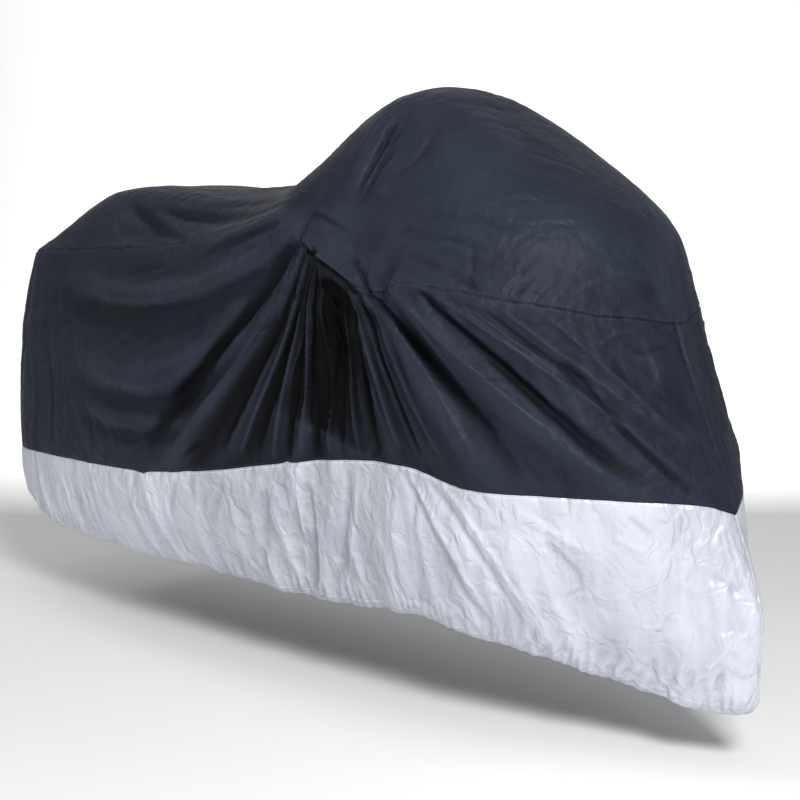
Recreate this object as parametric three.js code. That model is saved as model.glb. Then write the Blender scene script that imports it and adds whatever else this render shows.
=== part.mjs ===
import * as THREE from 'three';

// A two-tone fitted outdoor cover in the folds in which it hangs.
// Millimetres. +X points to the nose, +Y to the left side and +Z up. The tables give heights above the
// ground, and the group then carries the origin to the inside of the hood's crown, where the cover is held up.

// Driving dimensions
const COVER_LENGTH = 2600;
const COVER_WIDTH = 920;
const CROWN_HEIGHT = 1618;
const CLOTH_THICKNESS = 2;
const SEAM_GAP = 0.4;
const CROWN_FORWARD = 215;
const BLACK_CLOTH = { color: 0x2b303b, roughness: 0.55, metalness: 0 };
const SILVER_CLOTH = { color: 0xc9ccd8, roughness: 0.5, metalness: 0.15 };

// The tables below are drawn for a cover of this size and are stretched to the driving dimensions.
const DRAWN_LENGTH = 2600;
const DRAWN_WIDTH = 920;
const DRAWN_CROWN_HEIGHT = 1618;

// Lines round half of the cover, from the rear centre seam at share 0 to the front centre seam at share 1.
// Each row: share of the way, place along the length, distance from the middle plane, height.
const line = (rows) => rows.map(([share, along, out, up]) => ({ share, along, out, up }));

const TOP_SEAM = line([
  [0.00, -1412, 0, 1175],
  [0.05, -1402, 165, 1175],
  [0.10, -1354, 282, 1172],
  [0.17, -1100, 308, 1180],
  [0.25, -760, 330, 1190],
  [0.33, -430, 352, 1228],
  [0.38, -190, 390, 1268],
  [0.42, -20, 430, 1288],
  [0.46, 62, 446, 1235],
  [0.50, 120, 450, 1188],
  [0.54, 190, 452, 1148],
  [0.58, 270, 455, 1105],
  [0.62, 350, 458, 1095],
  [0.66, 430, 458, 1125],
  [0.71, 560, 438, 1112],
  [0.77, 680, 380, 1092],
  [0.82, 755, 310, 1080],
  [0.88, 825, 220, 1066],
  [0.94, 878, 115, 1046],
  [1.00, 900, 0, 1022],
]);

const UPPER_SIDE = line([
  [0.00, -1466, 0, 985],
  [0.05, -1460, 165, 985],
  [0.10, -1434, 290, 978],
  [0.17, -1180, 335, 985],
  [0.25, -880, 372, 978],
  [0.33, -600, 396, 985],
  [0.38, -400, 408, 1000],
  [0.42, -210, 410, 1030],
  [0.46, -30, 398, 1010],
  [0.50, 60, 392, 990],
  [0.54, 150, 392, 985],
  [0.58, 270, 400, 985],
  [0.62, 390, 415, 995],
  [0.66, 490, 418, 985],
  [0.71, 610, 402, 965],
  [0.77, 735, 350, 945],
  [0.82, 815, 285, 935],
  [0.88, 885, 195, 928],
  [0.94, 930, 100, 918],
  [1.00, 948, 0, 900],
]);

const LOWER_SIDE = line([
  [0.00, -1488, 0, 735],
  [0.05, -1482, 165, 735],
  [0.10, -1455, 296, 730],
  [0.17, -1230, 345, 738],
  [0.25, -940, 388, 745],
  [0.33, -700, 414, 752],
  [0.38, -540, 422, 768],
  [0.42, -390, 422, 790],
  [0.46, -180, 408, 800],
  [0.50, 0, 390, 815],
  [0.54, 160, 384, 828],
  [0.58, 330, 388, 835],
  [0.62, 480, 394, 820],
  [0.66, 590, 390, 810],
  [0.71, 700, 368, 800],
  [0.77, 815, 312, 790],
  [0.82, 890, 248, 785],
  [0.88, 955, 165, 780],
  [0.94, 995, 85, 772],
  [1.00, 1010, 0, 758],
]);

const SKIRT_SEAM = line([
  [0.00, -1494, 0, 515],
  [0.05, -1488, 160, 515],
  [0.10, -1464, 290, 512],
  [0.17, -1270, 342, 520],
  [0.25, -990, 384, 532],
  [0.33, -760, 410, 545],
  [0.38, -620, 420, 552],
  [0.42, -520, 420, 562],
  [0.46, -320, 412, 592],
  [0.50, -60, 388, 642],
  [0.54, 180, 376, 680],
  [0.58, 390, 380, 688],
  [0.62, 540, 382, 656],
  [0.66, 650, 370, 658],
  [0.71, 765, 335, 660],
  [0.77, 870, 280, 660],
  [0.82, 935, 225, 656],
  [0.88, 1000, 148, 648],
  [0.94, 1045, 72, 635],
  [1.00, 1064, 0, 612],
]);

const SKIRT_MIDDLE = line([
  [0.00, -1494, 0, 420],
  [0.05, -1489, 157, 420],
  [0.10, -1470, 280, 410],
  [0.17, -1280, 322, 388],
  [0.25, -1000, 352, 382],
  [0.33, -780, 372, 388],
  [0.38, -640, 382, 396],
  [0.42, -530, 382, 405],
  [0.46, -320, 374, 425],
  [0.50, -80, 352, 452],
  [0.54, 150, 345, 475],
  [0.58, 350, 348, 482],
  [0.62, 500, 345, 462],
  [0.66, 610, 328, 450],
  [0.71, 725, 290, 438],
  [0.77, 838, 235, 425],
  [0.82, 920, 185, 415],
  [0.88, 1012, 122, 405],
  [0.94, 1098, 58, 395],
  [1.00, 1150, 0, 388],
]);

const HEM = line([
  [0.00, -1470, 0, 340],
  [0.05, -1466, 148, 338],
  [0.10, -1444, 258, 322],
  [0.17, -1270, 280, 268],
  [0.25, -1020, 284, 256],
  [0.33, -800, 288, 250],
  [0.38, -650, 290, 256],
  [0.42, -520, 290, 262],
  [0.46, -320, 290, 258],
  [0.50, -100, 290, 256],
  [0.54, 120, 292, 270],
  [0.58, 300, 288, 280],
  [0.62, 440, 272, 264],
  [0.66, 550, 248, 246],
  [0.71, 650, 215, 228],
  [0.77, 760, 170, 204],
  [0.82, 850, 132, 184],
  [0.88, 965, 88, 158],
  [0.94, 1075, 44, 138],
  [1.00, 1138, 0, 150],
]);

// Lines over the top panel, by the same shares. It ends at the tail corner and at the nose corner.
const TAIL_CORNER = 0.10;
const NOSE_CORNER = 0.88;

const SPINE = line([
  [0.10, -1412, 0, 1175],
  [0.13, -1305, 0, 1232],
  [0.17, -1160, 0, 1310],
  [0.21, -1020, 0, 1370],
  [0.25, -860, 0, 1384],
  [0.32, -560, 0, 1374],
  [0.37, -340, 0, 1376],
  [0.40, -215, 0, 1398],
  [0.43, -115, 0, 1462],
  [0.46, -10, 0, 1545],
  [0.49, 90, 0, 1596],
  [0.52, 170, 0, 1614],
  [0.55, 240, 0, 1618],
  [0.58, 320, 0, 1590],
  [0.62, 430, 0, 1526],
  [0.68, 570, 0, 1438],
  [0.75, 710, 0, 1348],
  [0.80, 795, 0, 1286],
  [0.83, 835, 0, 1234],
  [0.855, 868, 0, 1150],
  [0.88, 900, 0, 1022],
]);

const SHOULDER = line([
  [0.10, -1402, 165, 1175],
  [0.13, -1310, 190, 1232],
  [0.17, -1175, 200, 1304],
  [0.21, -1040, 195, 1354],
  [0.25, -860, 190, 1346],
  [0.32, -560, 195, 1334],
  [0.37, -340, 205, 1338],
  [0.40, -190, 225, 1358],
  [0.43, -75, 235, 1416],
  [0.46, 25, 240, 1476],
  [0.49, 110, 245, 1522],
  [0.52, 180, 250, 1538],
  [0.55, 245, 255, 1536],
  [0.58, 320, 262, 1514],
  [0.62, 425, 272, 1462],
  [0.68, 560, 262, 1390],
  [0.75, 695, 230, 1308],
  [0.80, 775, 188, 1254],
  [0.83, 812, 160, 1206],
  [0.855, 845, 136, 1130],
  [0.88, 878, 115, 1046],
]);

// Rows of cells from the top seam (level 0) over the lines above to the skirt seam (3) and the hem (5).
const BLACK_LEVELS = [0, 0.12, 0.28, 0.48, 0.72, 1, 1.34, 1.68, 2.02, 2.36, 2.68, 3];
const SILVER_LEVELS = [3, 3.3, 3.62, 3.96, 4.3, 4.65, 5];

// Columns of cells round half of the cover: from share to share, so many.
const COLUMN_RUNS = [
  { to: TAIL_CORNER, cells: 7 },
  { to: 0.40, cells: 16 },
  { to: 0.60, cells: 27 },
  { to: NOSE_CORNER, cells: 14 },
  { to: 1, cells: 7 },
];

const smooth = (t) => {
  const held = Math.min(1, Math.max(0, t));
  return held * held * (3 - 2 * held);
};

// A smooth curve through values at growing places, with the slope at each the mean of its two neighbours'.
function through(places, values, at) {
  const last = places.length - 1;
  let k = 0;
  while (k < last - 1 && at > places[k + 1]) k += 1;
  const step = places[k + 1] - places[k];
  const slope = (i) => {
    const before = Math.max(0, i - 1);
    const after = Math.min(last, i + 1);
    return (values[after] - values[before]) / (places[after] - places[before]);
  };
  const t = (at - places[k]) / step;
  const t2 = t * t;
  const t3 = t2 * t;
  return (2 * t3 - 3 * t2 + 1) * values[k] + (t3 - 2 * t2 + t) * step * slope(k)
    + (3 * t2 - 2 * t3) * values[k + 1] + (t3 - t2) * step * slope(k + 1);
}

// A point of a line round the cover. The line goes on over the centre seams as its own mirror image.
function onLine(rows, share) {
  const first = rows[0];
  const second = rows[1];
  const last = rows[rows.length - 1];
  const beforeLast = rows[rows.length - 2];
  const before = { ...second, share: 2 * first.share - second.share, out: -second.out };
  const after = { ...beforeLast, share: 2 * last.share - beforeLast.share, out: -beforeLast.out };
  const closed = first.share === 0 ? [before, ...rows, after] : rows;
  const places = closed.map((row) => row.share);
  return new THREE.Vector3(
    through(places, closed.map((row) => row.along), share),
    through(places, closed.map((row) => row.out), share),
    through(places, closed.map((row) => row.up), share),
  );
}

// A point of the side or skirt: down the lines from the top seam to the hem.
const HANGING_LINES = [TOP_SEAM, UPPER_SIDE, LOWER_SIDE, SKIRT_SEAM, SKIRT_MIDDLE, HEM];
function onSide(share, level, side) {
  const points = HANGING_LINES.map((rows) => onLine(rows, share));
  const places = points.map((_, i) => i);
  return new THREE.Vector3(
    through(places, points.map((p) => p.x), level),
    side * through(places, points.map((p) => p.y), level),
    through(places, points.map((p) => p.z), level),
  );
}

// A point of the top panel: across from the right seam (-1) over the spine (0) to the left seam (1).
function archAt(share, across) {
  const seam = onLine(TOP_SEAM, share);
  const shoulder = onLine(SHOULDER, share);
  const spine = onLine(SPINE, share);
  const places = [-1, -0.5, 0, 0.5, 1];
  const points = [seam, shoulder, spine, shoulder, seam];
  return new THREE.Vector3(
    through(places, points.map((p) => p.x), across),
    through(places, points.map((p, i) => Math.sign(i - 2) * p.y), across),
    through(places, points.map((p) => p.z), across),
  );
}

// The arch is bent at both ends of the panel so that it meets the seam that runs across there.
const END_BLEND = 0.05;
function onTop(share, across) {
  const point = archAt(share, across);
  const side = across < 0 ? -1 : 1;
  const ends = [
    { corner: TAIL_CORNER, seamShare: TAIL_CORNER * Math.abs(across), away: share - TAIL_CORNER },
    { corner: NOSE_CORNER, seamShare: 1 - (1 - NOSE_CORNER) * Math.abs(across), away: NOSE_CORNER - share },
  ];
  for (const end of ends) {
    if (end.away >= END_BLEND) continue;
    const seam = onLine(TOP_SEAM, end.seamShare);
    seam.y *= side;
    const error = seam.sub(archAt(end.corner, across));
    point.addScaledVector(error, 1 - smooth(end.away / END_BLEND));
  }
  return point;
}

// Folds. A row runs from one place over a middle one to the last, each as [along, height] on its own flank.
// Width is the fold's reach at its two ends, and depth stands out where positive, at start, middle and end.
const FOLDS_RIGHT = [
  // Long swags from the gather back to the tail corner
  { from: [30, 1262], by: [-560, 1068], to: [-1190, 1105], width: [26, 62], depth: [8, 32, 10] },
  { from: [75, 1228], by: [-560, 968], to: [-1210, 1035], width: [22, 62], depth: [-12, -30, -8] },
  { from: [50, 1205], by: [-380, 885], to: [-1000, 790], width: [20, 95], depth: [8, 26, 8] },
  { from: [-190, 960], by: [-500, 765], to: [-960, 730], width: [30, 66], depth: [-4, -14, -4] },
  // Hard folds that run down and back from the gather
  { from: [76, 1238], by: [-270, 930], to: [-590, 610], width: [16, 44], depth: [-20, -42, -20] },
  { from: [86, 1208], by: [-200, 905], to: [-480, 620], width: [14, 34], depth: [12, 26, 16] },
  { from: [96, 1188], by: [-150, 895], to: [-370, 625], width: [12, 26], depth: [-12, -22, -10] },
  { from: [102, 1184], by: [-105, 885], to: [-250, 640], width: [9, 22], depth: [8, 18, 12] },
  { from: [112, 1172], by: [-65, 880], to: [-175, 640], width: [9, 22], depth: [-8, -18, -10] },
  // The dark fan that hangs in under the flap
  { from: [100, 1150], by: [190, 1082], to: [300, 1040], width: [26, 30], depth: [-16, -32, -16] },
  { from: [170, 1080], by: [130, 900], to: [110, 720], width: [70, 150], depth: [-22, -26, -4] },
  { from: [130, 1160], by: [0, 905], to: [-110, 640], width: [9, 22], depth: [6, 16, 14] },
  { from: [138, 1150], by: [50, 905], to: [8, 560], width: [8, 18], depth: [8, 20, 20] },
  { from: [150, 1145], by: [82, 905], to: [50, 560], width: [9, 20], depth: [-6, -18, -14] },
  { from: [180, 1115], by: [165, 900], to: [150, 620], width: [10, 24], depth: [6, 14, 8] },
  { from: [205, 1100], by: [245, 890], to: [285, 640], width: [10, 22], depth: [-8, -20, -8] },
  { from: [215, 1095], by: [275, 900], to: [350, 700], width: [10, 24], depth: [4, 14, 10] },
  { from: [262, 1092], by: [330, 935], to: [470, 700], width: [9, 20], depth: [10, 22, 10] },
  { from: [285, 1098], by: [372, 955], to: [470, 800], width: [11, 22], depth: [-14, -30, -6] },
  // Long folds that run down and forward from the gather to the nose
  { from: [300, 1115], by: [430, 920], to: [650, 690], width: [20, 58], depth: [8, 24, 12] },
  { from: [258, 1192], by: [455, 990], to: [690, 735], width: [15, 42], depth: [-16, -42, -16] },
  { from: [272, 1232], by: [570, 965], to: [945, 680], width: [16, 40], depth: [10, 30, 14] },
  { from: [258, 1238], by: [590, 1035], to: [955, 690], width: [12, 27], depth: [-12, -32, -10] },
  { from: [300, 1236], by: [650, 1012], to: [1030, 670], width: [12, 25], depth: [8, 20, 8] },
  { from: [310, 1245], by: [660, 1050], to: [930, 805], width: [10, 20], depth: [-5, -12, -5] },
  { from: [780, 1055], by: [875, 920], to: [975, 770], width: [18, 24], depth: [3, 12, 3] },
  { from: [790, 965], by: [905, 800], to: [1020, 660], width: [16, 22], depth: [-8, -18, -6] },
  // The knob of the gather, the flap's edge and the folds up to the crown
  { from: [140, 1312], by: [195, 1288], to: [255, 1250], width: [42, 42], depth: [8, 16, 8] },
  { from: [60, 1252], by: [175, 1172], to: [300, 1104], width: [20, 20], depth: [8, 14, 8] },
  { from: [150, 1572], by: [195, 1480], to: [165, 1370], width: [18, 16], depth: [4, 12, 6] },
  { from: [240, 1562], by: [243, 1465], to: [203, 1340], width: [18, 15], depth: [-8, -30, -12] },
  { from: [282, 1462], by: [258, 1395], to: [232, 1330], width: [14, 13], depth: [-4, -18, -8] },
  { from: [355, 1530], by: [375, 1450], to: [310, 1365], width: [30, 26], depth: [-3, -13, -3] },
  // Dents of the low stretch behind the hood
  { from: [-930, 1330], by: [-750, 1262], to: [-500, 1222], width: [30, 34], depth: [-6, -18, -8] },
  { from: [-960, 1318], by: [-830, 1262], to: [-700, 1225], width: [26, 30], depth: [4, 12, 4] },
  { from: [-880, 1325], by: [-600, 1290], to: [-200, 1285], width: [30, 26], depth: [-4, -14, -6] },
  // The skirt: the deep pit beside the pleat, and folds that follow those above
  { from: [12, 560], by: [-10, 430], to: [-60, 290], width: [16, 22], depth: [-10, -34, -30] },
  { from: [45, 570], by: [55, 500], to: [80, 430], width: [16, 18], depth: [-4, -14, -4] },
  { from: [172, 650], by: [135, 480], to: [55, 300], width: [14, 20], depth: [-12, -18, -12] },
  { from: [240, 640], by: [235, 470], to: [190, 320], width: [30, 40], depth: [-4, -8, -4] },
  { from: [300, 660], by: [325, 490], to: [335, 305], width: [20, 30], depth: [6, 14, 8] },
  { from: [385, 670], by: [482, 520], to: [575, 305], width: [16, 26], depth: [-10, -20, -14] },
  { from: [440, 640], by: [535, 500], to: [610, 340], width: [22, 26], depth: [6, 12, 6] },
  { from: [470, 670], by: [600, 530], to: [680, 310], width: [18, 24], depth: [-12, -18, -10] },
  { from: [665, 640], by: [705, 500], to: [735, 350], width: [26, 30], depth: [6, 14, 5] },
  { from: [735, 600], by: [785, 480], to: [805, 360], width: [30, 36], depth: [-4, -12, -6] },
  { from: [780, 500], by: [870, 440], to: [960, 400], width: [26, 30], depth: [4, 12, 3] },
  { from: [868, 420], by: [842, 320], to: [832, 215], width: [20, 22], depth: [-4, -20, -16] },
  { from: [1105, 410], by: [1030, 345], to: [955, 305], width: [22, 26], depth: [4, 14, 4] },
  { from: [1075, 300], by: [1010, 262], to: [955, 200], width: [18, 20], depth: [-4, -16, -14] },
  { from: [-560, 590], by: [-500, 470], to: [-545, 300], width: [40, 46], depth: [-4, -10, -8] },
  { from: [-800, 520], by: [-740, 480], to: [-690, 440], width: [30, 30], depth: [3, 9, 3] },
  { from: [-60, 600], by: [-100, 470], to: [-165, 290], width: [26, 30], depth: [6, 12, 8] },
  { from: [-300, 560], by: [-350, 440], to: [-420, 290], width: [30, 36], depth: [-3, -10, -7] },
];

// The left side hangs from a gather of its own, with fewer and softer folds.
const FOLDS_LEFT = [
  { from: [20, 1258], by: [-500, 1050], to: [-1160, 1120], width: [26, 70], depth: [8, 24, 8] },
  { from: [60, 1225], by: [-480, 930], to: [-1180, 960], width: [22, 80], depth: [-12, -24, -6] },
  { from: [76, 1220], by: [-230, 900], to: [-640, 600], width: [16, 52], depth: [12, 34, 16] },
  { from: [90, 1200], by: [-150, 900], to: [-440, 600], width: [14, 40], depth: [-16, -38, -18] },
  { from: [104, 1186], by: [-70, 900], to: [-260, 620], width: [12, 34], depth: [8, 22, 12] },
  { from: [118, 1170], by: [0, 890], to: [-120, 560], width: [11, 28], depth: [-10, -22, -14] },
  { from: [100, 1150], by: [190, 1082], to: [300, 1040], width: [26, 30], depth: [-14, -26, -14] },
  { from: [150, 1140], by: [95, 900], to: [40, 600], width: [10, 28], depth: [6, 18, 12] },
  { from: [185, 1110], by: [180, 890], to: [150, 560], width: [12, 30], depth: [-8, -20, -12] },
  { from: [215, 1100], by: [265, 890], to: [300, 600], width: [12, 32], depth: [6, 18, 10] },
  { from: [265, 1095], by: [350, 920], to: [460, 600], width: [12, 34], depth: [-12, -28, -12] },
  { from: [290, 1110], by: [440, 900], to: [620, 620], width: [18, 46], depth: [10, 26, 12] },
  { from: [262, 1200], by: [500, 950], to: [760, 680], width: [16, 44], depth: [-14, -38, -14] },
  { from: [280, 1236], by: [620, 960], to: [960, 700], width: [16, 44], depth: [10, 28, 10] },
  { from: [300, 1240], by: [680, 1040], to: [1010, 760], width: [14, 30], depth: [-8, -20, -6] },
  { from: [140, 1312], by: [195, 1288], to: [255, 1250], width: [42, 42], depth: [8, 16, 8] },
  { from: [60, 1252], by: [175, 1172], to: [300, 1104], width: [20, 20], depth: [8, 14, 8] },
  { from: [120, 1570], by: [180, 1480], to: [160, 1360], width: [20, 16], depth: [-4, -14, -6] },
  { from: [300, 1540], by: [300, 1450], to: [240, 1340], width: [22, 16], depth: [-4, -16, -6] },
  { from: [-1000, 1320], by: [-700, 1262], to: [-360, 1250], width: [34, 34], depth: [-4, -14, -4] },
  { from: [-700, 590], by: [-660, 450], to: [-700, 300], width: [40, 46], depth: [-4, -14, -8] },
  { from: [-300, 580], by: [-360, 440], to: [-380, 290], width: [26, 34], depth: [6, 14, 8] },
  { from: [-90, 600], by: [-110, 450], to: [-170, 290], width: [22, 30], depth: [-8, -20, -16] },
  { from: [200, 660], by: [190, 480], to: [150, 300], width: [22, 30], depth: [-8, -16, -10] },
  { from: [430, 660], by: [500, 500], to: [560, 310], width: [22, 30], depth: [8, 16, 8] },
  { from: [560, 650], by: [640, 500], to: [690, 310], width: [22, 28], depth: [-10, -18, -12] },
  { from: [800, 600], by: [850, 450], to: [870, 260], width: [26, 30], depth: [-4, -14, -10] },
  { from: [1080, 420], by: [1010, 350], to: [940, 300], width: [22, 28], depth: [4, 12, 4] },
];

// Soft sags of the top, as [along, across], and folds of the rear and of the nose, as [across, height].
const FOLDS_TOP = [
  { from: [-1020, 40], by: [-720, -20], to: [-420, 60], width: [60, 70], depth: [-3, -12, -3] },
  { from: [-980, 190], by: [-760, 120], to: [-560, 170], width: [46, 46], depth: [3, 9, 3] },
  { from: [-60, 120], by: [-250, 60], to: [-430, 90], width: [34, 46], depth: [4, 9, 2] },
  { from: [330, 60], by: [520, 110], to: [720, 40], width: [60, 66], depth: [-2, -9, -3] },
  { from: [300, -150], by: [480, -90], to: [640, -130], width: [46, 50], depth: [-2, -6, -2] },
  { from: [60, 230], by: [130, 160], to: [200, 100], width: [34, 34], depth: [-2, -7, -2] },
];
const FOLDS_REAR = [
  { from: [-170, 1160], by: [-120, 850], to: [-180, 480], width: [34, 44], depth: [4, 12, 5] },
  { from: [70, 1165], by: [95, 860], to: [40, 400], width: [34, 44], depth: [-4, -13, -6] },
  { from: [225, 1150], by: [120, 960], to: [-60, 800], width: [34, 40], depth: [5, 11, 3] },
  { from: [-250, 1040], by: [-60, 900], to: [30, 700], width: [36, 44], depth: [-4, -10, -3] },
];
const FOLDS_NOSE = [
  { from: [-55, 1250], by: [-70, 1080], to: [-60, 800], width: [22, 26], depth: [-3, -8, -3] },
  { from: [-10, 1240], by: [-22, 1060], to: [-16, 700], width: [18, 22], depth: [3, 7, 3] },
  { from: [60, 1230], by: [80, 1020], to: [50, 720], width: [24, 28], depth: [-3, -8, -3] },
];

// The share of a fold's depth at a distance from its crest, in widths.
const CREST_SHARPNESS = 1.6;
const foldProfile = (q) => Math.exp(-CREST_SHARPNESS * q * q);

// Each fold is measured as a chain of this many straight runs.
const FOLD_STEPS = 12;
function foldHeight(fold, along, up) {
  const place = (t, axis) => fold.from[axis] * (1 - t) * (1 - 2 * t)
    + fold.by[axis] * 4 * t * (1 - t) + fold.to[axis] * t * (2 * t - 1);
  let nearest = Infinity;
  let nearestT = 0;
  for (let i = 0; i < FOLD_STEPS; i += 1) {
    const t0 = i / FOLD_STEPS;
    const a = [place(t0, 0), place(t0, 1)];
    const b = [place(t0 + 1 / FOLD_STEPS, 0), place(t0 + 1 / FOLD_STEPS, 1)];
    const run = [b[0] - a[0], b[1] - a[1]];
    const reach = ((along - a[0]) * run[0] + (up - a[1]) * run[1]) / (run[0] ** 2 + run[1] ** 2);
    const held = Math.min(1, Math.max(0, reach));
    const distance = Math.hypot(along - a[0] - held * run[0], up - a[1] - held * run[1]);
    if (distance < nearest) {
      nearest = distance;
      nearestT = t0 + held / FOLD_STEPS;
    }
  }
  const width = fold.width[0] + (fold.width[1] - fold.width[0]) * nearestT;
  const depth = through([0, 0.5, 1], fold.depth, nearestT);
  return depth * foldProfile(nearest / width);
}

const foldSum = (folds, first, second) => (
  folds.reduce((total, fold) => total + foldHeight(fold, first, second), 0)
);

// How far a point of the smooth surface moves out, given the way that it faces. Each face takes its own
// folds, and they fade where the cover turns away from it.
const SPINE_FADE = 120;
const FACE_FADE = 0.4;
const TOP_FACING = 0.35;
const REAR_FACING = 0.5;
const NOSE_FACING = 0.35;
function foldedOut(point, facing) {
  const onFlank = smooth(Math.abs(point.y) / SPINE_FADE);
  const onTopFace = smooth((facing.z - TOP_FACING) / FACE_FADE);
  const onRearFace = smooth((-facing.x - REAR_FACING) / FACE_FADE);
  const onNoseFace = smooth((facing.x - NOSE_FACING) / FACE_FADE);
  return onFlank * foldSum(point.y < 0 ? FOLDS_RIGHT : FOLDS_LEFT, point.x, point.z)
    + onTopFace * foldSum(FOLDS_TOP, point.x, point.y)
    + onRearFace * foldSum(FOLDS_REAR, point.y, point.z)
    + onNoseFace * foldSum(FOLDS_NOSE, point.y, point.z);
}

// The elastic draws the hem into waves, which die out over the last stretch of levels above it.
const HEM_WAVES = [
  { length: 214, depth: 4, start: 20 },
  { length: 141, depth: 5, start: 55 },
];
const HEM_WAVE_LEVELS = 0.8;
const WAVE_SLANT = 0.6;
function hemWave(point, level) {
  const hemLevel = HANGING_LINES.length - 1;
  const nearHem = smooth(1 - (hemLevel - level) / HEM_WAVE_LEVELS);
  const way = point.x + WAVE_SLANT * point.y;
  return nearHem * HEM_WAVES.reduce((total, wave) => (
    total + wave.depth * Math.sin((2 * Math.PI * (way - wave.start)) / wave.length)
  ), 0);
}

// The shares at which the columns stand, from the rear centre seam to the front one.
const columnShares = [0];
for (const run of COLUMN_RUNS) {
  const start = columnShares[columnShares.length - 1];
  for (let i = 1; i <= run.cells; i += 1) columnShares.push(start + ((run.to - start) * i) / run.cells);
}
const tailCells = COLUMN_RUNS[0].cells;
const halfColumns = columnShares.length - 1;
const ringColumns = 2 * halfColumns;
const levels = [...BLACK_LEVELS, ...SILVER_LEVELS.slice(1)];

// One sewn surface: a ring of columns that go from the rear down the right side and back along the left one,
// and the top panel's inner points. Each grid below holds numbers of points in this list.
const points = [];
const waves = [];
function addPoint(point, level) {
  waves.push(hemWave(point, level));
  return points.push(point) - 1;
}

const ring = levels.map((level) => {
  const row = [];
  for (let column = 0; column < ringColumns; column += 1) {
    const right = column <= halfColumns;
    const share = columnShares[right ? column : ringColumns - column];
    row.push(addPoint(onSide(share, level, right ? -1 : 1), level));
  }
  return row;
});

// The top panel's grid: a row for each column share between its corners, across from right to left.
const acrossCells = 2 * tailCells;
const noseColumn = halfColumns - tailCells;
const top = [];
for (let column = tailCells; column <= noseColumn; column += 1) {
  const row = [];
  for (let j = 0; j <= acrossCells; j += 1) {
    if (j === 0) row.push(ring[0][column]);
    else if (j === acrossCells) row.push(ring[0][ringColumns - column]);
    else if (column === tailCells) row.push(ring[0][(tailCells - j + ringColumns) % ringColumns]);
    else if (column === noseColumn) row.push(ring[0][noseColumn + j]);
    else row.push(addPoint(onTop(columnShares[column], (2 * j) / acrossCells - 1), 0));
  }
  top.push(row);
}

// Cuts of the ring: rows from the top seam to the skirt seam, and from there to the hem.
function ringCut(firstRow, lastRow, right) {
  const rows = [];
  for (let r = firstRow; r <= lastRow; r += 1) {
    const row = [];
    for (let column = 0; column <= halfColumns; column += 1) {
      row.push(ring[r][right ? column : (ringColumns - column) % ringColumns]);
    }
    rows.push(right ? row : row.reverse());
  }
  return rows;
}

const seamRow = BLACK_LEVELS.length - 1;
const hemRow = levels.length - 1;
const sideRight = ringCut(0, seamRow, true);
const sideLeft = ringCut(0, seamRow, false);
const skirtRight = ringCut(seamRow, hemRow, true);
const skirtLeft = ringCut(seamRow, hemRow, false);

// Outward directions at all points, from the cells round each.
function outwardAt(at) {
  const normals = points.map(() => new THREE.Vector3());
  for (const grid of [top, sideRight, sideLeft, skirtRight, skirtLeft]) {
    for (let r = 0; r + 1 < grid.length; r += 1) {
      for (let c = 0; c + 1 < grid[r].length; c += 1) {
        const corners = [grid[r][c], grid[r + 1][c], grid[r + 1][c + 1], grid[r][c + 1]];
        const [a, b, d, e] = corners.map((id) => at[id]);
        const cell = d.clone().sub(a).cross(e.clone().sub(b));
        corners.forEach((id) => normals[id].add(cell));
      }
    }
  }
  return normals.map((normal) => normal.normalize());
}

const smoothOutward = outwardAt(points);
const outer = points.map((point, id) => {
  const facing = smoothOutward[id];
  return point.clone().addScaledVector(facing, foldedOut(point, facing) + waves[id]);
});
const outward = outwardAt(outer);

const stretch = new THREE.Vector3(
  COVER_LENGTH / DRAWN_LENGTH,
  COVER_WIDTH / DRAWN_WIDTH,
  CROWN_HEIGHT / DRAWN_CROWN_HEIGHT,
);

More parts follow.
